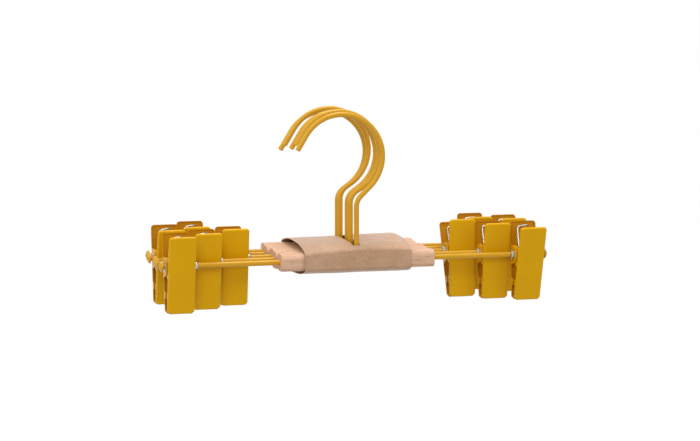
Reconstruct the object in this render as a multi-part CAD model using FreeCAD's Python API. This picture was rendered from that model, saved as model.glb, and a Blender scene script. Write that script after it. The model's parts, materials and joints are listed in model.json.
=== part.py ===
import FreeCAD, Part
import math
import os

from FreeCAD import Vector

# Skirt hangers, five nested in a paper band. Millimetres.
# X runs along the wooden bars, Y from the front hanger to the back one, Z up.
# The origin is where a wardrobe rail bears: under the hooks' crowns, in the middle hanger's plane.

# The bundle
HANGERS = 5
BAR_GAP = 0.4
HANGER_SHIFT = (-0.6, -1.4, 0.5, -1.3, 0.8)

# Wooden bar
BAR_LENGTH = 141.2
BAR_HEIGHT = 15.5
BAR_DEPTH = 18.4
BAR_ROUND = 5.0
BAR_END_EDGE = 0.5

# Wire hook, set in the middle of the bar's top: the five are bent alike, with small differences
HOOK_WIRE = 4.7
HOOK_RADIUS = 37.85
HOOK_CENTRE_OVER_ROD = 92.9
HOOK_RISE = (0.2, 1.2, -0.6, 1.2, -2.4)
HOOK_LEFT_OF_SHANK = (13.7, 10.7, 11.3, 11.1, 11.4)
HOOK_NECK_RADIUS = 13.0
HOOK_NECK_RUN = (12.6, 2.9, 6.2, 5.4, 6.5)
HOOK_TIP_ANGLE = 148.8
HOOK_TIP_RUN = (15.4, 13.5, 16.7, 17.1, 19.8)
HOOK_TIP_EDGE = 0.6
HOOK_SEAT = 11.0

# Rods and the domed stops on their ends
ROD_REACH = 109.1
ROD_WIRE = 4.8
ROD_SEAT = 20.0
PRESS_FIT = 0.06
STOP_WIDTH = 9.6
STOP_THICK = 3.2
STOP_EDGE = 0.9
STOP_ROUND = 0.6
STOP_SEAT = 1.6

# Jaw, a pressed tray of sheet steel: both jaws of a clip are this one pressing
JAW_ABOVE_PIVOT = 30.0
JAW_BELOW_PIVOT = 41.4
JAW_TOP_WIDTH = 24.7
JAW_TIP_WIDTH = 24.6
JAW_SHEET = 0.9
JAW_LEAN = 10.5
JAW_CORNER = 3.0
JAW_TIP_CUT = 2.3
JAW_EDGE = 1.8
PIVOT_DEPTH = 11.3
EAR_RADIUS = 8.0
EAR_START_ABOVE = 8.7
EAR_START_BELOW = 10.0
RIM_DEPTH = 2.6
RIM_TOP_DEPTH = 2.0
LOBE_TOP = 23.0
LOBE_HEIGHT = 5.0
LOBE_SLOPE = 1.6
TIP_WALL = 3.6
JAW_MEETING_GAP = 0.15
JAW_SIDE_GAP = 0.25

# Grip pad behind each jaw's tip
PAD_HEIGHT = 7.0
PAD_SIDE_GAP = 1.2
PAD_END_GAP = 1.4

# Hollow pivot sleeve, which the rod runs through
ROD_PLAY = 0.3
SLEEVE_WALL = 0.8
SLEEVE_HEAD = 9.4
SLEEVE_HEAD_THICK = 0.8
EAR_TURN_GAP = 0.15
EAR_END_GAP = 0.15

# Torsion spring round the sleeve
SPRING_WIRE = 1.5
SPRING_COIL_LENGTH = 13.0
SPRING_COIL_GAP = 0.35
SPRING_LEG_REACH = 24.6
SPRING_LEG_GAP = 0.2
SPRING_FOOT = 10.5
SPRING_FOOT_TILT = 10.5
SPRING_BEND_RADIUS = 2.4
SPRING_TURNS = 5

# Where the clips stand: side by side in columns, the outermost against the stops, swung and slid a little
CLIP_GAP = 0.3
HANGER_COLUMN = (0, 1, 2, 0, 1)
CLIPS_SHIFT = -0.75
SWING_ANGLE_LEFT = (-0.8, -0.5, 2.3, -3.1, -3.4)
SWING_ANGLE_RIGHT = (-5.0, 2.5, 11.5, 0.3, -0.4)
SLID_LEFT = (0, 0, 1.6, 0, 0)
SLID_RIGHT = (0, 0, 0, 0, 0)

# Paper band
BAND_WIDTH = 98.5
BAND_SHEET = 0.45
BAND_CLEAR = 0.8
BAND_FOLD_TOP = 7.5
BAND_FOLD_LOW = 5.0
BAND_CROWN = 13.8
BAND_SAG = 13.7
BAND_SHIFT = -1.2
BAND_SLIT = 8.0
BAND_SLIT_END = 3.4

# How far cutting shapes stand out past what they cut
CUT_OVER = 1.0
TOLERANCE = 1e-6

# Worked out from the sizes above
HANGER_PITCH = BAR_DEPTH + BAR_GAP
HANGER_LENGTH = BAR_LENGTH + 2 * ROD_REACH
ROD_DROP = HOOK_CENTRE_OVER_ROD + HOOK_RADIUS - HOOK_WIRE / 2
SLEEVE_BORE = ROD_WIRE / 2 + ROD_PLAY
SLEEVE_OUTER = SLEEVE_BORE + SLEEVE_WALL
EAR_HOLE = SLEEVE_OUTER + EAR_TURN_GAP
JAW_SIDE_STEP = JAW_SHEET + JAW_SIDE_GAP
LEAN_SLOPE = math.tan(math.radians(JAW_LEAN))
COIL_RADIUS = SLEEVE_OUTER + SPRING_COIL_GAP + SPRING_WIRE / 2
JAW_WIDEST = max(JAW_TOP_WIDTH, JAW_TIP_WIDTH)
SLEEVE_REACH = JAW_WIDEST / 2 + JAW_SIDE_STEP / 2 + SLEEVE_HEAD_THICK
COLUMN_PITCH = SLEEVE_REACH + JAW_WIDEST / 2 + JAW_SIDE_STEP / 2 + CLIP_GAP
OUTER_COLUMN = HANGER_LENGTH / 2 - STOP_THICK - max(map(abs, HANGER_SHIFT)) - SLEEVE_REACH - CLIP_GAP
X_AXIS = Vector(1, 0, 0)
Y_AXIS = Vector(0, 1, 0)
Z_AXIS = Vector(0, 0, 1)
ORIGIN = Vector(0, 0, 0)


def rounded_wire(corners):
    """A closed wire through corners, each a point and the radius that rounds it."""
    edges = []
    joins = []
    count = len(corners)
    for i in range(count):
        point, radius = corners[i]
        if radius == 0:
            joins.append((point, point))
            continue
        before = (corners[i - 1][0] - point).normalize()
        after = (corners[(i + 1) % count][0] - point).normalize()
        half = before.getAngle(after) / 2
        reach = radius / math.tan(half)
        middle = (before + after).normalize()
        nearest = point + middle * (radius / math.sin(half) - radius)
        start = point + before * reach
        end = point + after * reach
        joins.append((start, end))
        edges.append(Part.Arc(start, nearest, end).toShape())
    for i in range(count):
        start = joins[i][1]
        end = joins[(i + 1) % count][0]
        edges.append(Part.LineSegment(start, end).toShape())
    return Part.Wire(Part.__sortEdges__(edges))


def turned(profile):
    """A solid of revolution about X from (along, radius) points."""
    points = [Vector(along, 0, radius) for along, radius in profile]
    face = Part.Face(Part.makePolygon(points + points[:1]))
    return face.revolve(ORIGIN, X_AXIS, 360)


def tangent_point(outside, centre, radius, turn):
    """Where the line from a point outside a circle touches it, on the side that turn says."""
    away = outside - centre
    swing = turn * math.acos(radius / away.Length)
    angle = math.atan2(away.z, away.y) + swing
    return centre + Vector(0, math.cos(angle), math.sin(angle)) * radius


def column_x(hanger, side):
    slid = SLID_LEFT[hanger] if side < 0 else SLID_RIGHT[hanger]
    return CLIPS_SHIFT + side * (OUTER_COLUMN - HANGER_COLUMN[hanger] * COLUMN_PITCH - slid)


def hanger_place(hanger):
    return Vector(HANGER_SHIFT[hanger], (hanger - (HANGERS - 1) / 2) * HANGER_PITCH, -ROD_DROP)


def make_bar():
    """A rounded block with a blind hole in each end for a rod and one in the top for the hook."""
    corner = Vector(-BAR_LENGTH / 2, -BAR_DEPTH / 2, -BAR_HEIGHT / 2)
    bar = Part.makeBox(BAR_LENGTH, BAR_DEPTH, BAR_HEIGHT, corner)
    bar = bar.makeFillet(BAR_ROUND, [e for e in bar.Edges if e.BoundBox.XLength > TOLERANCE])
    bar = bar.makeFillet(BAR_END_EDGE, [e for e in bar.Edges if e.BoundBox.XLength < TOLERANCE])
    for side in (-1, 1):
        mouth = Vector(side * BAR_LENGTH / 2, 0, 0)
        bar = bar.cut(Part.makeCylinder((ROD_WIRE + PRESS_FIT) / 2, ROD_SEAT, mouth, X_AXIS * -side))
    mouth = Vector(0, 0, BAR_HEIGHT / 2)
    return bar.cut(Part.makeCylinder((HOOK_WIRE + PRESS_FIT) / 2, HOOK_SEAT, mouth, -Z_AXIS))


def bent_wire(start, way, centre, angle):
    """A stretch of hook wire bent about centre; a positive angle turns it rightwards."""
    section = Part.Face(Part.Wire(Part.makeCircle(HOOK_WIRE / 2, start, way)))
    return section.revolve(centre, Y_AXIS, angle)


def make_hook(hanger):
    """Bent wire: shank, a neck that turns out to the right, a straight run, the big loop, the tip."""
    left = HOOK_LEFT_OF_SHANK[hanger]
    run = HOOK_NECK_RUN[hanger]
    centre = Vector(-left, 0, HOOK_CENTRE_OVER_ROD + HOOK_RISE[hanger])
    across = HOOK_NECK_RADIUS + left
    apart = math.hypot(HOOK_RADIUS + HOOK_NECK_RADIUS, run)
    neck_height = centre.z - math.sqrt(apart ** 2 - across ** 2)
    neck_centre = Vector(HOOK_NECK_RADIUS, 0, neck_height)
    between = math.atan2(centre.z - neck_height, -across)
    neck_turn = math.pi - between - math.atan2(run, HOOK_RADIUS + HOOK_NECK_RADIUS)
    outward = Vector(-math.cos(neck_turn), 0, math.sin(neck_turn))
    neck_way = Vector(math.sin(neck_turn), 0, math.cos(neck_turn))
    neck_end = neck_centre + outward * HOOK_NECK_RADIUS
    loop_start = neck_end + neck_way * run
    loop_angle = HOOK_TIP_ANGLE + math.degrees(neck_turn)
    tip_turn = math.radians(HOOK_TIP_ANGLE)
    loop_end = centre + Vector(math.cos(tip_turn), 0, math.sin(tip_turn)) * HOOK_RADIUS
    tip_way = Vector(-math.sin(tip_turn), 0, math.cos(tip_turn))
    foot = Vector(0, 0, BAR_HEIGHT / 2 - HOOK_SEAT)
    neck_start = Vector(0, 0, neck_height)
    tip_run = HOOK_TIP_RUN[hanger]
    tip = Part.makeCylinder(HOOK_WIRE / 2, tip_run, loop_end, tip_way)
    tip_end = loop_end + tip_way * tip_run
    tip_edges = [e for e in tip.Edges if e.BoundBox.Center.distanceToPoint(tip_end) < HOOK_WIRE / 4]
    pieces = [
        bent_wire(neck_start, Z_AXIS, neck_centre, math.degrees(neck_turn)),
        Part.makeCylinder(HOOK_WIRE / 2, run, neck_end, neck_way),
        bent_wire(loop_start, neck_way, centre, -loop_angle),
        tip.makeChamfer(HOOK_TIP_EDGE, tip_edges),
    ]
    shank = Part.makeCylinder(HOOK_WIRE / 2, neck_height - foot.z, foot, Z_AXIS)
    return shank.fuse(pieces).removeSplitter()


def make_rod(side):
    start = BAR_LENGTH / 2 - ROD_SEAT
    reach = HANGER_LENGTH / 2 - STOP_THICK + STOP_SEAT
    return Part.makeCylinder(ROD_WIRE / 2, reach - start, Vector(side * start, 0, 0), X_AXIS * side)


def make_stop(side):
    """A button on the rod's end: flat where a clip bears, domed outside, with a blind hole for the rod."""
    outer = HANGER_LENGTH / 2
    radius = STOP_WIDTH / 2
    height = STOP_THICK - STOP_EDGE
    ball = (radius ** 2 + height ** 2) / (2 * height)
    half = math.asin(radius / ball) / 2
    base = Vector(outer - STOP_THICK, 0, 0)
    corner = base + Z_AXIS * radius
    rim = corner + X_AXIS * STOP_EDGE
    apex = Vector(outer, 0, 0)
    middle = apex + Vector(math.cos(half) - 1, 0, math.sin(half)) * ball
    edges = [Part.LineSegment(a, b).toShape() for a, b in ((apex, base), (base, corner), (corner, rim))]
    edges.append(Part.Arc(rim, middle, apex).toShape())
    stop = Part.Face(Part.Wire(Part.__sortEdges__(edges))).revolve(ORIGIN, X_AXIS, 360)
    rings = [e for e in stop.Edges if e.BoundBox.XLength < TOLERANCE]
    brim = [e for e in rings if abs(e.BoundBox.XMin - rim.x) < TOLERANCE]
    stop = stop.makeFillet(STOP_ROUND, brim)
    stop = stop.cut(Part.makeCylinder((ROD_WIRE + PRESS_FIT) / 2, STOP_SEAT, base, X_AXIS))
    if side < 0:
        stop.rotate(ORIGIN, Z_AXIS, 180)
    return stop


def jaw_outline(inset):
    """The jaw seen from the front: wider at the handle, rounded above and cut off at the tip's corners."""
    top = JAW_ABOVE_PIVOT - inset
    low = -JAW_BELOW_PIVOT + inset
    wide = JAW_TOP_WIDTH / 2 - inset
    narrow = JAW_TIP_WIDTH / 2 - inset
    cut = JAW_TIP_CUT
    corner = JAW_CORNER - inset
    right = [
        (Vector(wide, 0, top), corner),
        (Vector(narrow, 0, low + cut), 0),
        (Vector(narrow - cut, 0, low), 0),
    ]
    left = [(Vector(-p.x, 0, p.z), radius) for p, radius in reversed(right)]
    return rounded_wire(right + left)


def jaw_half_width(height):
    """Half the jaw's width at a height over the pivot."""
    share = (JAW_ABOVE_PIVOT - height) / (JAW_ABOVE_PIVOT + JAW_BELOW_PIVOT)
    return (JAW_TOP_WIDTH + (JAW_TIP_WIDTH - JAW_TOP_WIDTH) * share) / 2


def meeting_depth(height):
    """How far behind the jaw's face the plane lies where the two jaws meet."""
    return PIVOT_DEPTH + height * LEAN_SLOPE - JAW_MEETING_GAP


def jaw_side():
    """The jaw seen from its side: shallow rim, pivot ear, two windows with a lobe between, and the tip."""
    pivot = Vector(0, PIVOT_DEPTH, 0)
    over = Vector(0, RIM_DEPTH, EAR_START_ABOVE)
    under = Vector(0, RIM_DEPTH, -EAR_START_BELOW)
    ear_top = tangent_point(over, pivot, EAR_RADIUS, -1)
    ear_low = tangent_point(under, pivot, EAR_RADIUS, 1)
    ear_back = pivot + Y_AXIS * EAR_RADIUS
    lobe_low = LOBE_TOP + LOBE_HEIGHT
    tip_top = JAW_BELOW_PIVOT - TIP_WALL
    above = JAW_ABOVE_PIVOT + CUT_OVER
    below = -JAW_BELOW_PIVOT - CUT_OVER
    chain = [
        ear_low, under,
        Vector(0, RIM_DEPTH, -LOBE_TOP + LOBE_SLOPE),
        Vector(0, meeting_depth(-LOBE_TOP), -LOBE_TOP),
        Vector(0, meeting_depth(-lobe_low), -lobe_low),
        Vector(0, RIM_DEPTH, -lobe_low - LOBE_SLOPE),
        Vector(0, RIM_DEPTH, -tip_top),
        Vector(0, meeting_depth(-tip_top), -tip_top),
        Vector(0, meeting_depth(below), below),
        Vector(0, -CUT_OVER, below), Vector(0, -CUT_OVER, above), Vector(0, RIM_TOP_DEPTH, above),
        over, ear_top,
    ]
    edges = [Part.LineSegment(a, b).toShape() for a, b in zip(chain, chain[1:])]
    edges.append(Part.Arc(ear_top, ear_back, ear_low).toShape())
    return Part.Face(Part.Wire(Part.__sortEdges__(edges)))


def make_jaw():
    """The front jaw at rest, with its pivot on the X axis."""
    depth = PIVOT_DEPTH + EAR_RADIUS

    def tray(inset):
        """What lies inside the pressing's face and walls, drawn in by inset, with the bend between them."""
        block = Part.Face(jaw_outline(inset)).extrude(Y_AXIS * depth)
        bend = [e for e in block.Edges if e.BoundBox.YMax < TOLERANCE]
        block = block.makeFillet(JAW_EDGE - inset, bend)
        block.translate(Y_AXIS * inset)
        return block

    side = jaw_side().extrude(X_AXIS * JAW_WIDEST)
    side.translate(X_AXIS * (-JAW_WIDEST / 2))
    bore = Part.makeCylinder(EAR_HOLE, JAW_WIDEST, Vector(-JAW_WIDEST / 2, PIVOT_DEPTH, 0), X_AXIS)
    jaw = tray(0).cut(tray(JAW_SHEET)).common(side).cut(bore)
    return seat_jaw(jaw)


def make_pad():
    """A soft block that fills the tip between the jaw's walls."""
    low = -JAW_BELOW_PIVOT + JAW_SHEET + PAD_END_GAP
    high = low + PAD_HEIGHT
    half = JAW_TIP_WIDTH / 2 - JAW_SHEET - PAD_SIDE_GAP
    corners = [
        Vector(-half, JAW_SHEET, low), Vector(-half, meeting_depth(low), low),
        Vector(-half, meeting_depth(high), high), Vector(-half, JAW_SHEET, high),
    ]
    pad = Part.Face(Part.makePolygon(corners + corners[:1])).extrude(X_AXIS * 2 * half)
    return seat_jaw(pad)


def seat_jaw(shape):
    """From the pressing's own frame to the clip's: pivot on the X axis, leaning, one sheet to the right."""
    shape.translate(Vector(JAW_SIDE_STEP / 2, -PIVOT_DEPTH, 0))
    shape.rotate(ORIGIN, X_AXIS, JAW_LEAN)
    return shape


def make_sleeve():
    ear_width = max(jaw_half_width(EAR_RADIUS), jaw_half_width(-EAR_RADIUS))
    ear_face = ear_width + JAW_SIDE_STEP / 2 + EAR_END_GAP
    end = SLEEVE_REACH
    head = SLEEVE_HEAD / 2
    rim = SLEEVE_OUTER
    return turned([
        (-end, SLEEVE_BORE), (-end, rim), (-end + SLEEVE_HEAD_THICK / 2, head), (-ear_face, head),
        (-ear_face, SLEEVE_OUTER), (ear_face, SLEEVE_OUTER),
        (ear_face, head), (end - SLEEVE_HEAD_THICK / 2, head), (end, rim), (end, SLEEVE_BORE),
    ])


def biarc(start, start_way, end, end_way):
    """Two arcs that leave start and reach end along the given directions."""
    across = end - start
    ways = start_way + end_way
    slack = 2 * (1 - start_way.dot(end_way))
    lean = across.dot(ways)
    reach = (math.sqrt(lean ** 2 + slack * across.dot(across)) - lean) / slack
    first = start + start_way * reach
    second = end - end_way * reach
    meet = (first + second) / 2
    return [tangent_arc(start, first, meet), tangent_arc(meet, second, end)]


def tangent_arc(start, corner, end):
    """The arc from start to end whose tangents cross at corner."""
    middle = (start + end) / 2
    half = start.distanceToPoint(end) / 2
    height = corner.distanceToPoint(middle)
    rise = half * math.tan(math.atan2(height, half) / 2)
    return Part.Arc(start, middle + (corner - middle) * (rise / height), end).toShape()


def spring_leg():
    """The front leg's edges from its foot's end down to the coil, and the point where it meets the coil."""
    leg_x = SPRING_COIL_LENGTH / 2 - SPRING_WIRE / 2
    knee = Vector(leg_x, JAW_SHEET + SPRING_WIRE / 2 + SPRING_LEG_GAP - PIVOT_DEPTH, SPRING_LEG_REACH)
    root = tangent_point(knee, Vector(leg_x, 0, 0), COIL_RADIUS, 1)
    down = (root - knee).normalize()
    tilt = math.radians(SPRING_FOOT_TILT)
    outward = Vector(-math.cos(tilt), 0, math.sin(tilt))
    bend_reach = SPRING_BEND_RADIUS / math.tan(outward.getAngle(down) / 2)
    toe = knee + outward * SPRING_FOOT
    bend_start = knee + outward * bend_reach
    bend_end = knee + down * bend_reach
    edges = [
        Part.LineSegment(toe, bend_start).toShape(),
        tangent_arc(bend_start, knee, bend_end),
        Part.LineSegment(bend_end, root).toShape(),
    ]
    turn = FreeCAD.Rotation(X_AXIS, JAW_LEAN)
    for edge in edges:
        edge.rotate(ORIGIN, X_AXIS, JAW_LEAN)
    return edges, turn.multVec(root)


def make_spring():
    """One wire: foot and leg on the front jaw's handle, the coil, leg and foot on the back jaw's."""
    front_leg, root = spring_leg()
    back_leg = [edge.copy() for edge in front_leg]
    for edge in back_leg:
        edge.rotate(ORIGIN, Z_AXIS, 180)
    start_turn = math.atan2(root.z, root.y)
    end_turn = math.pi - start_turn
    whole = 2 * math.pi
    sweep = (end_turn - start_turn) % whole + SPRING_TURNS * whole
    steps = math.ceil(sweep / (math.pi / 2))
    climb = -2 * root.x / sweep

    def coil_point(step):
        turn = start_turn + sweep * step / steps
        point = Vector(root.x + climb * sweep * step / steps, 0, 0)
        point += Vector(0, math.cos(turn), math.sin(turn)) * COIL_RADIUS
        along = 0 if step in (0, steps) else climb
        way = Vector(along, -COIL_RADIUS * math.sin(turn), COIL_RADIUS * math.cos(turn))
        return point, way.normalize()

    coil = []
    for step in range(steps):
        start, start_way = coil_point(step)
        end, end_way = coil_point(step + 1)
        coil += biarc(start, start_way, end, end_way)
    edges = front_leg + coil + back_leg[::-1]
    path = Part.Wire(Part.__sortEdges__(edges))
    first = path.OrderedEdges[0]
    toe = path.OrderedVertexes[0].Point
    section = Part.Wire([Part.makeCircle(SPRING_WIRE / 2, toe, first.tangentAt(first.FirstParameter))])
    spring = path.makePipeShell([section], True, False)
    print(f"spring: least gap to itself {self_gap(path):.2f} mm")
    return spring


def self_gap(path):
    """The least gap between stretches of the wire that are more than half a turn apart along it."""
    step = SPRING_WIRE / 3
    points = path.discretize(Distance=step)
    apart = int(math.pi * COIL_RADIUS / step)
    nearest = min(a.distanceToPoint(b) for i, a in enumerate(points) for b in points[i + apart:])
    return nearest - SPRING_WIRE


def make_band():
    """A loose paper tube: tight in front and behind, bowed off the bars above and below, slit for hooks."""
    half_depth = (HANGERS - 1) / 2 * HANGER_PITCH + BAR_DEPTH / 2 + BAND_CLEAR

    def tube(grow):
        front = half_depth + grow
        edges = []
        for way, fold, rise in ((1, BAND_FOLD_TOP, BAND_CROWN), (-1, BAND_FOLD_LOW, BAND_SAG)):
            middle = Vector(0, 0, way * fold)
            peak = Vector(0, 0, way * (rise + grow))
            bow = Part.Ellipse(Vector(0, way * front, way * fold), peak, middle)
            edges.append(Part.ArcOfEllipse(bow, 0, math.pi).toShape())
        for y in (-front, front):
            wall = Part.LineSegment(Vector(0, y, -BAND_FOLD_LOW), Vector(0, y, BAND_FOLD_TOP))
            edges.append(wall.toShape())
        face = Part.Face(Part.Wire(Part.__sortEdges__(edges)))
        return face.extrude(X_AXIS * BAND_WIDTH)

    band = tube(BAND_SHEET).cut(tube(0))
    band.translate(X_AXIS * (BAND_SHIFT - BAND_WIDTH / 2))
    slit_half = half_depth - BAR_DEPTH / 2 + BAND_SLIT_END
    corner = Vector(-BAND_SLIT / 2, -slit_half, BAR_HEIGHT / 2)
    slit = Part.makeBox(BAND_SLIT, 2 * slit_half, BAND_CROWN, corner)
    return band.cut(slit)


def at_hanger(shape, hanger):
    placed = shape.copy()
    placed.translate(hanger_place(hanger))
    return placed


def at_clip(shape, hanger, side):
    """A clip's piece on its rod, swung about the rod and slid along it as the clip is at rest."""
    swing = SWING_ANGLE_LEFT[hanger] if side < 0 else SWING_ANGLE_RIGHT[hanger]
    placed = shape.copy()
    placed.rotate(ORIGIN, X_AXIS, -swing)
    rod = hanger_place(hanger)
    placed.translate(Vector(column_x(hanger, side), rod.y, rod.z))
    return placed


def build():
    bar = make_bar()
    rods = [make_rod(side) for side in (-1, 1)]
    stops = [make_stop(side) for side in (-1, 1)]
    front = Part.Compound([make_jaw(), make_pad()])
    back = front.copy()
    back.rotate(ORIGIN, Z_AXIS, 180)
    sleeve = make_sleeve()
    spring = make_spring()
    band = make_band()
    band.translate(Z_AXIS * -ROD_DROP)
    nodes = {"paper_band": band}
    all_stops = []
    for hanger in range(HANGERS):
        number = hanger + 1
        nodes[f"wooden_bar_{number}"] = at_hanger(bar, hanger)
        nodes[f"wire_hook_{number}"] = at_hanger(make_hook(hanger), hanger)
        nodes[f"rods_{number}"] = Part.Compound([at_hanger(rod, hanger) for rod in rods])
        all_stops += [at_hanger(stop, hanger) for stop in stops]
        for name, side in (("left", -1), ("right", 1)):
            clip = f"{number}_{name}"
            nodes[f"front_jaw_{clip}"] = at_clip(front, hanger, side)
            nodes[f"back_jaw_{clip}"] = at_clip(back, hanger, side)
            nodes[f"clip_spring_{clip}"] = at_clip(spring, hanger, side)
            nodes[f"pivot_sleeve_{clip}"] = at_clip(sleeve, hanger, side)
    nodes["rod_stops"] = Part.Compound(all_stops)
    return nodes


os.makedirs("parts", exist_ok=True)
for node, shape in build().items():
    shape.exportStep(f"parts/{node}.step")
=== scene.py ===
import json
import math

import bmesh
import bpy
from mathutils import Matrix, Vector, noise


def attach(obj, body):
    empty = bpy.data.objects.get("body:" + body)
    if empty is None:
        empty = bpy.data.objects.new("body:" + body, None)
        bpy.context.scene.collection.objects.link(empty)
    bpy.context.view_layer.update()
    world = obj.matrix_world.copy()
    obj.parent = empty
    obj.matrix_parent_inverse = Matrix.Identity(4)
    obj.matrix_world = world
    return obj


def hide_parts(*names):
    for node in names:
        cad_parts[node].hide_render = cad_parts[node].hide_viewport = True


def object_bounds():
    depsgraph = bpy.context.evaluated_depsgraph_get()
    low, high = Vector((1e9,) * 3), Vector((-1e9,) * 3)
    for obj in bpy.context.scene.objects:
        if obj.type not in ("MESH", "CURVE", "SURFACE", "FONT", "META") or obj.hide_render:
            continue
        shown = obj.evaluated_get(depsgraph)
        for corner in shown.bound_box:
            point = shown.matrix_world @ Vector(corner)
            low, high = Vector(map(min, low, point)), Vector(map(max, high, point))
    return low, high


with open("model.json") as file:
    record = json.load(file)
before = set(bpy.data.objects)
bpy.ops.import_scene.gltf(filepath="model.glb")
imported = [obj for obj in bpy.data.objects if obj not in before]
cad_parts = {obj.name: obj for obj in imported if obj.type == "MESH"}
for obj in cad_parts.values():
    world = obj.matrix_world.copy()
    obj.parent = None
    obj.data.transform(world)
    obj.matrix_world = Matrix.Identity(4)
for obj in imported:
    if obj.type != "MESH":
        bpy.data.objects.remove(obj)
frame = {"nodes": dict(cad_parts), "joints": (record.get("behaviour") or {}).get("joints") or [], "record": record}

cad_box = [list(corner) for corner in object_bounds()]

# Wooden bars
# Each hanger's middle is a sanded block of bare beech, its long edges rounded over on a router.
# The wire hook is pressed into a hole in its top and a rod into each end.
nodes = frame["nodes"]
BEECH = (0.72, 0.44, 0.275)
BEECH_PALE = (0.78, 0.50, 0.33)
BEECH_LINE = (0.52, 0.27, 0.15)
BEECH_FLECK = (0.40, 0.185, 0.093)


def start_material(name, **sockets):
    """A Principled material, with the sockets that are the same all over set on the shader itself."""
    material = bpy.data.materials.new(name)
    material.use_nodes = True
    tree = material.node_tree
    shader = tree.nodes["Principled BSDF"]
    for socket, value in sockets.items():
        shader.inputs[socket.replace("_", " ")].default_value = value
    return material, tree, shader


def stretched(tree, per_metre):
    """Object coordinates, so many texture cells per metre along each axis."""
    spot = tree.nodes.new("ShaderNodeTexCoord")
    mapping = tree.nodes.new("ShaderNodeMapping")
    mapping.inputs["Scale"].default_value = per_metre
    tree.links.new(spot.outputs["Object"], mapping.inputs["Vector"])
    return mapping.outputs["Vector"]


def noise_of(tree, per_metre, detail=2.0, rough=0.5, twist=0.0):
    texture = tree.nodes.new("ShaderNodeTexNoise")
    texture.inputs["Scale"].default_value = 1.0
    texture.inputs["Detail"].default_value = detail
    texture.inputs["Roughness"].default_value = rough
    texture.inputs["Distortion"].default_value = twist
    tree.links.new(stretched(tree, per_metre), texture.inputs["Vector"])
    return texture.outputs["Fac"]


def between(tree, value, low, high, to_low=0.0, to_high=1.0):
    """Takes low..high of a value to to_low..to_high, and holds it there outside."""
    ramp = tree.nodes.new("ShaderNodeMapRange")
    ramp.inputs["From Min"].default_value = low
    ramp.inputs["From Max"].default_value = high
    ramp.inputs["To Min"].default_value = to_low
    ramp.inputs["To Max"].default_value = to_high
    tree.links.new(value, ramp.inputs["Value"])
    return ramp.outputs["Result"]


def mixed(tree, share, first, second):
    """Colours first and second, each an output or a plain colour, mixed by share."""
    mix = tree.nodes.new("ShaderNodeMix")
    mix.data_type = "RGBA"
    colours = [socket for socket in mix.inputs if socket.type == "RGBA"]
    for socket, colour in zip(colours, (first, second)):
        if isinstance(colour, tuple):
            socket.default_value = (*colour, 1)
        else:
            tree.links.new(colour, socket)
    tree.links.new(share, mix.inputs["Factor"])
    return next(socket for socket in mix.outputs if socket.type == "RGBA")


def bumped(tree, shader, height, depth, strength=1.0):
    bump = tree.nodes.new("ShaderNodeBump")
    bump.inputs["Distance"].default_value = depth
    bump.inputs["Strength"].default_value = strength
    tree.links.new(height, bump.inputs["Height"])
    tree.links.new(bump.outputs["Normal"], shader.inputs["Normal"])


def bare_beech():
    material, tree, shader = start_material("bare_beech", IOR=1.5, Specular_IOR_Level=0.35)
    cloud = noise_of(tree, (14, 90, 70), detail=3, twist=1.0)
    figure = noise_of(tree, (32, 560, 430), detail=3, rough=0.55, twist=0.9)
    pore = noise_of(tree, (170, 2400, 1900), detail=2, rough=0.6, twist=0.3)
    ray = noise_of(tree, (330, 2500, 1700), detail=1)
    colour = mixed(tree, between(tree, cloud, 0.3, 0.7), BEECH_PALE, BEECH)
    colour = mixed(tree, between(tree, figure, 0.5, 0.6, 0.0, 0.45), colour, BEECH_LINE)
    colour = mixed(tree, between(tree, figure, 0.6, 0.66, 0.0, 0.6), colour, BEECH_LINE)
    colour = mixed(tree, between(tree, pore, 0.55, 0.72, 0.0, 0.35), colour, BEECH_LINE)
    colour = mixed(tree, between(tree, ray, 0.66, 0.75, 0.0, 0.6), colour, BEECH_FLECK)
    tree.links.new(colour, shader.inputs["Base Color"])
    tree.links.new(between(tree, pore, 0.3, 0.7, 0.5, 0.65), shader.inputs["Roughness"])
    bumped(tree, shader, pore, 0.00006, 0.5)
    return material


def finish_nodes(prefix, material):
    """Gives a finish to every CAD node whose name starts with prefix."""
    for name, node in nodes.items():
        if name.startswith(prefix):
            node.data.materials.clear()
            node.data.materials.append(material)
            node.data.polygons.foreach_set("material_index", [0] * len(node.data.polygons))


finish_nodes("wooden_bar", bare_beech())

# Wire hooks, rods and their stops
# Drawn steel wire, bent cold and powder coated an ochre yellow with a satin sheen.
# Hooks and rods are pressed into the bars, and a turned stop closes the outer end of each rod.
COAT = (0.77, 0.41, 0.001)
COAT_DEEP = (0.66, 0.315, 0.001)
COAT_GLOSS = (1.0, 0.8, 0.45, 1)
# The wire's two colours are painted shade: copies of the sheet's coat made deeper, for the shaded sides of the
# round wire.
WIRE_PAINTED_SHADE = (0.66, 0.335, 0.001)
WIRE_PAINTED_SHADE_DEEP = (0.57, 0.265, 0.001)


def powder_coat(name, shine, roughness, grain_depth, main_colour=COAT, deeper_colour=COAT_DEEP):
    material, tree, shader = start_material(name, IOR=1.5, Specular_IOR_Level=shine)
    shader.inputs["Specular Tint"].default_value = COAT_GLOSS
    cloud = noise_of(tree, (38, 38, 38), detail=3)
    grain = noise_of(tree, (1300, 1300, 1300), detail=2)
    colour = mixed(tree, between(tree, cloud, 0.25, 0.75, 0.0, 0.3), main_colour, deeper_colour)
    colour = mixed(tree, between(tree, grain, 0.3, 0.7, 0.0, 0.12), colour, deeper_colour)
    tree.links.new(colour, shader.inputs["Base Color"])
    satin = between(tree, grain, 0.3, 0.7, roughness - 0.04, roughness + 0.05)
    tree.links.new(satin, shader.inputs["Roughness"])
    bumped(tree, shader, grain, grain_depth, 0.4)
    return material


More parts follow.
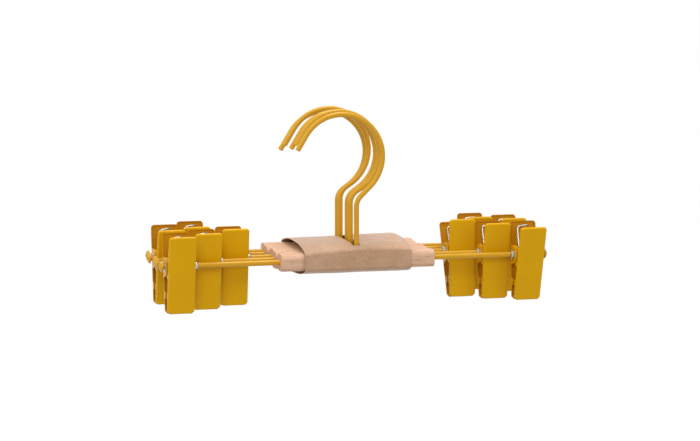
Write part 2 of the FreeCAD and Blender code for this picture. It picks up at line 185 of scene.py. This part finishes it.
# The hooks, rods and stops take this deeper coat, painted shade on the round wire.
shade_painted_wire = powder_coat("powder_coat_wire_painted_shade", 0.75, 0.38, 0.000001, WIRE_PAINTED_SHADE, WIRE_PAINTED_SHADE_DEEP)
for prefix in ("wire_hook", "rods_", "rod_stops"):
    finish_nodes(prefix, shade_painted_wire)

# Pivot sleeves
# A short steel tube through the clip's ears, nickel plated, which the rod passes through. Its ends are
# rolled out into heads, close to the ear on the outer side and a little off it on the inner one.
MM = 0.001
NICKEL = (0.62, 0.62, 0.60)
NICKEL_DULL = (0.42, 0.42, 0.40)
SLEEVE_BORE = 2.7
SLEEVE_OUTER = 3.5
HEAD_RADIUS = 4.7
HEAD_THICK = 0.7
HEAD_ROLL = 0.5
HEAD_EDGE = 0.2
OUTER_HEAD = 13.7
INNER_HEAD = 16.1
SLEEVE_SIDES = 40
ROLL_STEPS = 6


def nickel_plate():
    material, tree, shader = start_material("nickel_plate", Metallic=1.0)
    smear = noise_of(tree, (300, 300, 300), detail=3)
    colour = mixed(tree, between(tree, smear, 0.3, 0.7), NICKEL, NICKEL_DULL)
    tree.links.new(colour, shader.inputs["Base Color"])
    tree.links.new(between(tree, smear, 0.3, 0.7, 0.2, 0.32), shader.inputs["Roughness"])
    return material


def clip_frames():
    """For each clip its name and the matrix from millimetres at its pivot to the hanger's own frame."""
    grips = {mount["name"]: mount for mount in frame["record"]["mounts"]}
    for joint in frame["joints"]:
        if joint["name"].endswith("_swing"):
            clip = joint["child"].removeprefix("clip_")
            down = grips[f"grip_{clip}"]["axis"]
            swing = math.atan2(-down[1], -down[2])
            upright = Matrix.Translation(joint["pos_m"]) @ Matrix.Scale(MM, 4)
            yield clip, upright @ Matrix.Rotation(-swing, 4, "X")


def add_piece(name, mesh, material, body):
    """A new piece in the scene with its finish, riding on a body."""
    piece = bpy.data.objects.new(name, mesh)
    bpy.context.scene.collection.objects.link(piece)
    mesh.materials.append(material)
    mesh.polygons.foreach_set("use_smooth", [True] * len(mesh.polygons))
    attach(piece, body)
    return piece


def head_profile(end):
    """From the tube's outside over the rolled head to the bore, as distances along the rod and radii."""
    roll = (HEAD_RADIUS - SLEEVE_BORE) / 2
    quarter = [math.pi / 2 * i / ROLL_STEPS for i in range(ROLL_STEPS + 1)]
    back = end - HEAD_THICK
    profile = [(back, SLEEVE_OUTER), (back, HEAD_RADIUS - HEAD_EDGE), (back + HEAD_EDGE, HEAD_RADIUS)]
    for turn in quarter:
        along = end - HEAD_ROLL + HEAD_ROLL * math.sin(turn)
        profile.append((along, HEAD_RADIUS - roll * (1 - math.cos(turn))))
    return profile + [(end, SLEEVE_BORE + HEAD_EDGE), (end - HEAD_EDGE, SLEEVE_BORE)]


def sleeve_mesh(name, inward, place):
    """The sleeve turned about the rod, inward 1 or -1 for the way to the bar."""
    profile = [(inward * x, r) for x, r in head_profile(INNER_HEAD)]
    profile += [(-inward * x, r) for x, r in reversed(head_profile(OUTER_HEAD))]
    tube = bmesh.new()
    rings = []
    for i in range(SLEEVE_SIDES):
        turn = 2 * math.pi * i / SLEEVE_SIDES
        corners = [Vector((x, r * math.cos(turn), r * math.sin(turn))) for x, r in profile]
        rings.append([tube.verts.new(place @ corner) for corner in corners])
    for ring, beside in zip(rings, rings[1:] + rings[:1]):
        for j in range(len(profile)):
            k = (j + 1) % len(profile)
            tube.faces.new((ring[j], ring[k], beside[k], beside[j]))
    bmesh.ops.recalc_face_normals(tube, faces=tube.faces)
    mesh = bpy.data.meshes.new(name)
    tube.to_mesh(mesh)
    tube.free()
    return mesh


plated = nickel_plate()
for clip, place in clip_frames():
    name = f"rolled_sleeve_{clip}"
    body = f"sliding_sleeve_{clip}" if clip.startswith("3") else f"clip_{clip}"
    mesh = sleeve_mesh(name, 1 if clip.endswith("left") else -1, place)
    sleeve = add_piece(name, mesh, plated, body)
    mesh.set_sharp_from_angle(angle=math.radians(40))
    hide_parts(f"pivot_sleeve_{clip}")

# Clip springs
# One length of round spring wire each: a coil round the sleeve and two legs, whose feet lie across
# the insides of the jaws' handles. The legs go with the jaws and the coil with the clip.
SPRING_WIRE = 1.5
COIL_RADIUS = 4.6
COIL_TURNS = 5
LEG_X = 5.75
LEG_REACH = 24.6
LEG_IN_FRONT = 9.45
FOOT = 10.5
FOOT_TILT = math.radians(10.5)
FOOT_BEND = 2.4
JAW_LEAN = math.radians(10.5)
LEG_END_THINNED = 0.04
COIL_STEPS = 30
BEND_STEPS = 8
WIRE_SIDES = 12


def wire_mesh(name, path, radii, place):
    """A round wire along path, capped at both ends; radii thins it along its length."""
    mesh = bmesh.new()
    way = (path[1] - path[0]).normalized()
    side = way.orthogonal().normalized()
    rings = []
    for i, point in enumerate(path):
        onward = (path[min(i + 1, len(path) - 1)] - path[max(i - 1, 0)]).normalized()
        side = (side - onward * side.dot(onward)).normalized()
        across = onward.cross(side)
        turns = [2 * math.pi * j / WIRE_SIDES for j in range(WIRE_SIDES)]
        ring = [point + (side * math.cos(t) + across * math.sin(t)) * radii[i] for t in turns]
        rings.append([mesh.verts.new(place @ corner) for corner in ring])
    for low, high in zip(rings, rings[1:]):
        for j in range(WIRE_SIDES):
            k = (j + 1) % WIRE_SIDES
            mesh.faces.new((low[j], low[k], high[k], high[j]))
    mesh.faces.new(rings[0][::-1])
    mesh.faces.new(rings[-1])
    data = bpy.data.meshes.new(name)
    bmesh.ops.recalc_face_normals(mesh, faces=mesh.faces)
    mesh.to_mesh(data)
    mesh.free()
    return data


def leg_path():
    """The front leg in the clip's frame: foot, bend, and the straight run down to the coil."""
    knee = Vector((LEG_X, -LEG_IN_FRONT, LEG_REACH))
    away = math.atan2(knee.z, knee.y)
    touch = away + math.acos(COIL_RADIUS / math.hypot(knee.y, knee.z))
    root = Vector((LEG_X, COIL_RADIUS * math.cos(touch), COIL_RADIUS * math.sin(touch)))
    down = (root - knee).normalized()
    outward = Vector((-math.cos(FOOT_TILT), 0, math.sin(FOOT_TILT)))
    half = outward.angle(down) / 2
    bend_reach = FOOT_BEND / math.tan(half)
    centre = knee + (outward + down).normalized() * (FOOT_BEND / math.sin(half))
    first = (knee + outward * bend_reach - centre).normalized()
    last = (knee + down * bend_reach - centre).normalized()
    path = [knee + outward * FOOT, knee + outward * (FOOT + bend_reach) / 2]
    path += [centre + first.slerp(last, step / BEND_STEPS) * FOOT_BEND for step in range(BEND_STEPS + 1)]
    path += [knee.lerp(root, share) for share in (0.35, 0.65, 0.95)]
    lean = Matrix.Rotation(JAW_LEAN, 4, "X")
    return [lean @ point for point in path], lean @ root


def coil_path(root):
    """The coil from the front leg's root to the back leg's."""
    start = math.atan2(root.z, root.y)
    sweep = (math.pi - 2 * start) % (2 * math.pi) + COIL_TURNS * 2 * math.pi
    count = math.ceil(sweep / (2 * math.pi) * COIL_STEPS)
    turns = [start + sweep * i / count for i in range(count + 1)]
    return [
        Vector((LEG_X - 2 * LEG_X * i / count, COIL_RADIUS * math.cos(turn), COIL_RADIUS * math.sin(turn)))
        for i, turn in enumerate(turns)
    ]


half_turn = Matrix.Rotation(math.pi, 4, "Z")
front_leg, leg_root = leg_path()
coil = coil_path(leg_root)
hidden_run = COIL_STEPS // 4
leg_wire = front_leg + coil[:hidden_run]
leg_radii = [SPRING_WIRE / 2] * len(front_leg)
leg_radii += [SPRING_WIRE / 2 * (1 - LEG_END_THINNED * i / hidden_run) for i in range(hidden_run)]
for clip, place in clip_frames():
    coil_mesh = wire_mesh(f"spring_coil_{clip}", coil, [SPRING_WIRE / 2] * len(coil), place)
    coil_piece = add_piece(f"spring_coil_{clip}", coil_mesh, plated, f"clip_{clip}")
    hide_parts(f"clip_spring_{clip}")
    for jaw, turn in (("front", Matrix.Identity(4)), ("back", half_turn)):
        name = f"spring_leg_{jaw}_{clip}"
        leg_mesh = wire_mesh(name, leg_wire, leg_radii, place @ turn)
        add_piece(name, leg_mesh, plated, f"{jaw}_jaw_{clip}")

# Clip jaws and their grip pads
# Both jaws of a clip are one pressing, a tray of sheet steel with ears that turn on the sleeve. It is
# powder coated, and the faces inside the tray are coloured deeper and redder: painted shade for the recess.
# A pad of clear soft plastic is glued behind each tip. It is one node with its jaw, and takes the coat here.
# The two colours below are painted shade: the tray's inside faces, shaded by the jaws, coloured deeper and redder.
COAT_PAINTED_SHADE = (0.62, 0.262, 0.001)
COAT_PAINTED_SHADE_DEEP = (0.50, 0.178, 0.001)
TRAY_FLOOR_FACING = 0.5
TRAY_WALL_FACING = 0.7
TRAY_WALL_FROM = 9.0


def painted_shade_faces(mesh, to_clip, inward):
    """Numbers of the polygons facing into a jaw's tray, for the painted shade; inward is 1 for a front jaw, -1 for
    a back one.
    """
    turn = to_clip.to_3x3()
    for polygon in mesh.polygons:
        off_middle = (to_clip @ polygon.center).x
        facing = (turn @ polygon.normal).normalized()
        on_floor = facing.y * inward > TRAY_FLOOR_FACING
        on_wall = abs(facing.x) > TRAY_WALL_FACING and facing.x * off_middle < 0
        if on_floor or (on_wall and abs(off_middle) > TRAY_WALL_FROM):
            yield polygon.index


coated_sheet = powder_coat("powder_coated_sheet", 0.25, 0.34, 0.000008)
shade_painted_coat = powder_coat("powder_coat_painted_shade", 0.25, 0.4, 0.000008, COAT_PAINTED_SHADE, COAT_PAINTED_SHADE_DEEP)
finish_nodes("front_jaw", coated_sheet)
finish_nodes("back_jaw", coated_sheet)
# Each jaw's faces inside its tray take the second finish, the painted shade.
for clip, place in clip_frames():
    for jaw, inward in (("front", 1), ("back", -1)):
        node = nodes[f"{jaw}_jaw_{clip}"]
        node.data.materials.append(shade_painted_coat)
        for number in painted_shade_faces(node.data, place.inverted() @ node.matrix_world, inward):
            node.data.polygons[number].material_index = 1

# Paper band
# A strip of brown kraft paper folded into a loose sleeve round all five bars, its lap glued underneath.
# It is scored along its front and back edges, bows off the bars above and below, and is slit for the hooks.
KRAFT = (0.49, 0.28, 0.155)
KRAFT_PALE = (0.585, 0.36, 0.215)
KRAFT_DARK = (0.30, 0.155, 0.075)
BAND_WIDTH = 98.5
BAND_SHIFT = -1.2
BAND_SHEET = 0.4
BAND_FRONT = 47.6
BAND_FRONT_SPLAY = 0.8
SPLAY_FROM = 0.6
FOLD_LOW = 5.0
SAG = 13.7
FOLD_TOP = (5.4, 8.2, 8.0)
CROWN = (14.3, 14.8, 16.2)
FRONT_ROUNDING = (2.3, 3.2, 1.75)
BACK_ROUNDING = 2.0
SCORE_DEPTH = 0.2
SLIT_LEFT = -4.6
SLIT_RIGHT = 3.1
SLIT_SKEW = 0.8
LAP_START = 8.0
LAP_END = 22.0
LAP_DROP_START = -4.0
LAP_DROP_RUN = 10.0
LAP_GAP = 0.1
RIPPLE = 0.3
RIPPLE_RUN = (21, 15, 9)
BULGE = 0.4
BULGE_RUN = (34, 28)
LOW_ROWS = 20
LAP_ROWS = 40
BACK_ROWS = 6
FRONT_ROWS = 8
TOP_ROWS = 56
SLIT_ROWS = 18
SCORE_ROWS = (0, 3, TOP_ROWS - 3, TOP_ROWS)
COLUMNS = 24
SLIT_COLUMNS = 4
ROD_HEIGHT = -128.4


def kraft_paper():
    material, tree, shader = start_material("kraft_paper", IOR=1.5, Sheen_Weight=0.24, Sheen_Roughness=0.4)
    cloud = noise_of(tree, (60, 60, 60), detail=4, rough=0.6)
    fibre = noise_of(tree, (500, 3000, 1700), detail=2, twist=1.5)
    cross = noise_of(tree, (2600, 700, 900), detail=2, twist=1.5)
    speck = noise_of(tree, (750, 750, 750), detail=4, rough=0.65)
    colour = mixed(tree, between(tree, cloud, 0.3, 0.7), KRAFT, KRAFT_PALE)
    colour = mixed(tree, between(tree, fibre, 0.55, 0.75, 0.0, 0.5), colour, KRAFT_PALE)
    colour = mixed(tree, between(tree, cross, 0.6, 0.75, 0.0, 0.4), colour, KRAFT_DARK)
    colour = mixed(tree, between(tree, speck, 0.52, 0.7, 0.0, 0.75), colour, KRAFT_DARK)
    tree.links.new(colour, shader.inputs["Base Color"])
    tree.links.new(between(tree, fibre, 0.3, 0.7, 0.48, 0.6), shader.inputs["Roughness"])
    bumped(tree, shader, fibre, 0.00006, 0.5)
    return material


def along_band(ends_and_middle, along):
    """A size that changes smoothly from the sleeve's left end through its middle to its right end."""
    left, middle, right = ends_and_middle
    return middle + (right - left) / 2 * along + ((right + left) / 2 - middle) * along ** 2


def band_rows():
    """Round the sleeve from the lap's inner end to its outer one: side, share across, place on the side."""
    first = math.acos(LAP_START / BAND_FRONT)
    last = math.acos(LAP_END / BAND_FRONT)
    turns = [first * (1 - i / LOW_ROWS) for i in range(LOW_ROWS)]
    rows = [("low", math.cos(turn), math.sin(turn)) for turn in turns]
    rows += [("back", 1.0, i / BACK_ROWS) for i in range(BACK_ROWS)]
    rows += [("top", math.cos(math.pi * i / TOP_ROWS), i) for i in range(TOP_ROWS + 1)]
    rows += [("front", -1.0, 1 - i / FRONT_ROWS) for i in range(1, FRONT_ROWS)]
    turns = [math.pi + (last - math.pi) * i / LAP_ROWS for i in range(LAP_ROWS + 1)]
    return rows + [("lap", math.cos(turn), math.sin(turn)) for turn in turns]


def band_point(x, row):
    """A point of the paper's inner face, x from the sleeve's middle."""
    side, across, share = row
    along = x / BAND_WIDTH * 2
    fold = along_band(FOLD_TOP, along)
    splay = 0.0 if across > 0 else BAND_FRONT_SPLAY * (along - SPLAY_FROM)
    y = across * (BAND_FRONT - splay)
    loose = 0.0
    out = 0.0
    if side == "top":
        out = 1.0
        rounding = BACK_ROUNDING if across > 0 else along_band(FRONT_ROUNDING, along)
        loose = (1 - abs(across) ** rounding) ** (1 / rounding)
        height = fold + (along_band(CROWN, along) - fold) * loose
        if share in SCORE_ROWS:
            y -= math.copysign(SCORE_DEPTH, across)
            height -= SCORE_DEPTH / 2
    elif side in ("low", "lap"):
        out = -1.0
        loose = share
        height = -FOLD_LOW - (SAG - FOLD_LOW) * loose
        if side == "lap":
            dropped = min(1.0, max(0.0, (y - LAP_DROP_START) / LAP_DROP_RUN))
            height -= dropped * (BAND_SHEET + LAP_GAP)
    else:
        height = -FOLD_LOW + (fold + FOLD_LOW) * share
    ripple = RIPPLE * noise.noise(Vector((x / RIPPLE_RUN[0], y / RIPPLE_RUN[1], height / RIPPLE_RUN[2])))
    bulge = BULGE * noise.noise(Vector((x / BULGE_RUN[0] + 7, y / BULGE_RUN[1], 3)))
    y += math.copysign(abs(ripple) * 0.5 * (1 - loose), across)
    return Vector((x + BAND_SHIFT, y, ROD_HEIGHT + height + out * (ripple + bulge) * loose))


def band_columns(row):
    """Where a row's corners lie across the sleeve: left of the slit, over it and right of it."""
    half = BAND_WIDTH / 2
    left = SLIT_LEFT - BAND_SHIFT
    right = SLIT_RIGHT - BAND_SHIFT + (SLIT_SKEW * row[1] if row[0] == "top" else 0.0)
    xs = [-half + (left + half) * i / COLUMNS for i in range(COLUMNS)]
    xs += [left + (right - left) * i / SLIT_COLUMNS for i in range(SLIT_COLUMNS)]
    return xs + [right + (half - right) * i / COLUMNS for i in range(COLUMNS + 1)]


def over_slit(row, column):
    """Whether the cell after this row and column is part of the slit."""
    if row[0] != "top" or not 0 <= column - COLUMNS < SLIT_COLUMNS:
        return False
    return -SLIT_ROWS <= row[2] - TOP_ROWS // 2 < SLIT_ROWS


def band_mesh():
    """The sleeve as one sheet with its slit left open, then given the paper's thickness outwards."""
    sheet = bmesh.new()
    rows = band_rows()
    grid = [[sheet.verts.new(band_point(x, row) * MM) for x in band_columns(row)] for row in rows]
    for row, low, high in zip(rows, grid, grid[1:]):
        for i in range(len(low) - 1):
            if not over_slit(row, i):
                sheet.faces.new((low[i], high[i], high[i + 1], low[i + 1]))
    inside_slit = [corner for corner in sheet.verts if not corner.link_faces]
    bmesh.ops.delete(sheet, geom=inside_slit, context="VERTS")
    sheet.normal_update()
    bmesh.ops.solidify(sheet, geom=sheet.faces[:], thickness=-BAND_SHEET * MM)
    mesh = bpy.data.meshes.new("paper_sleeve")
    sheet.to_mesh(mesh)
    sheet.free()
    return mesh


band = add_piece("paper_sleeve", band_mesh(), kraft_paper(), "hangers")
band.data.set_sharp_from_angle(angle=math.radians(50))
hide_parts("paper_band")

# Studio
# The camera, where the photograph was taken from, and a white floor and surround lit by large soft lamps.
# The floor lies well below the hangers, which hang free, and keeps their shadow.
CAMERA_AT = Vector((3.17, 0.0, -97.5)) * MM
CAMERA_AZIMUTH = math.radians(-14.468)
CAMERA_ELEVATION = math.radians(7.044)
CAMERA_DISTANCE = 2.3437
CAMERA_LENS = 132.47
SURROUND_LIGHT = 0.5
SURROUND_SEEN = 1.0
FLOOR_BELOW = 0.25
FLOOR_REACH = 1.6
FLOOR_SIDES = 60
FLOOR_LIT = (0.45, 0.45, 0.45)
FLOOR_SEEN = (0.3, 0.3, 0.3)
FLOOR_GLOW = 0.78

camera_data = bpy.data.cameras.new("camera")
camera_data.lens = CAMERA_LENS
camera_data.sensor_width = 36
camera_data.clip_start = 0.05
camera = bpy.data.objects.new("camera", camera_data)
bpy.context.scene.collection.objects.link(camera)
level = math.cos(CAMERA_ELEVATION)
to_camera = Vector((
    math.sin(CAMERA_AZIMUTH) * level,
    -math.cos(CAMERA_AZIMUTH) * level,
    math.sin(CAMERA_ELEVATION),
))
camera.location = CAMERA_AT + to_camera * CAMERA_DISTANCE
camera.rotation_euler = to_camera.to_track_quat("Z", "Y").to_euler()
bpy.context.scene.camera = camera
bpy.context.scene.view_settings.view_transform = "Standard"


def seen_white(tree):
    """1 for a ray from the camera or a reflection, which sees the white background, and 0 for the light."""
    path = tree.nodes.new("ShaderNodeLightPath")
    first = tree.nodes.new("ShaderNodeMath")
    first.operation = "MAXIMUM"
    second = tree.nodes.new("ShaderNodeMath")
    second.operation = "MAXIMUM"
    tree.links.new(path.outputs["Is Camera Ray"], first.inputs[0])
    tree.links.new(path.outputs["Is Glossy Ray"], first.inputs[1])
    tree.links.new(first.outputs[0], second.inputs[0])
    tree.links.new(path.outputs["Is Transmission Ray"], second.inputs[1])
    return second.outputs[0]


world = bpy.data.worlds.new("studio")
world.use_nodes = True
bpy.context.scene.world = world
surround = world.node_tree
surround.nodes["Background"].inputs["Color"].default_value = (1, 1, 1, 1)
strength = between(surround, seen_white(surround), 0, 1, SURROUND_LIGHT, SURROUND_SEEN)
surround.links.new(strength, surround.nodes["Background"].inputs["Strength"])

drop = cad_box[0][2] - FLOOR_BELOW
turns = [math.radians(360 / FLOOR_SIDES) * i for i in range(FLOOR_SIDES)]
rim = [(FLOOR_REACH * math.cos(turn), FLOOR_REACH * math.sin(turn), drop) for turn in turns]
floor_mesh = bpy.data.meshes.new("studio_floor")
floor_mesh.from_pydata(rim, [], [tuple(range(FLOOR_SIDES))])
floor = bpy.data.objects.new("studio_floor", floor_mesh)
bpy.context.scene.collection.objects.link(floor)
white_floor, floor_tree, floor_shader = start_material("white_floor", Roughness=0.9, Specular_IOR_Level=0.0)
floor_shader.inputs["Emission Color"].default_value = (1, 1, 1, 1)
seen = seen_white(floor_tree)
glow = between(floor_tree, seen, 0, 1, 0.0, FLOOR_GLOW)
floor_tree.links.new(mixed(floor_tree, seen, FLOOR_LIT, FLOOR_SEEN), floor_shader.inputs["Base Color"])
floor_tree.links.new(glow, floor_shader.inputs["Emission Strength"])
floor_mesh.materials.append(white_floor)


def soft_lamp(name, place, size, power):
    lamp_data = bpy.data.lights.new(name, "AREA")
    lamp_data.shape = "DISK"
    lamp_data.size = size
    lamp_data.energy = power
    lamp = bpy.data.objects.new(name, lamp_data)
    lamp.location = place
    lamp.rotation_euler = (Vector(place) - CAMERA_AT).to_track_quat("Z", "Y").to_euler()
    bpy.context.scene.collection.objects.link(lamp)


soft_lamp("key_lamp", (-0.7, -1.6, 0.8), 0.8, 9)
soft_lamp("fill_lamp", (1.3, -1.3, 0.3), 1.2, 5)
soft_lamp("left_lamp", (-1.6, -0.2, 0.5), 0.8, 6)
soft_lamp("top_lamp", (0.1, 0.2, 1.6), 0.8, 18)
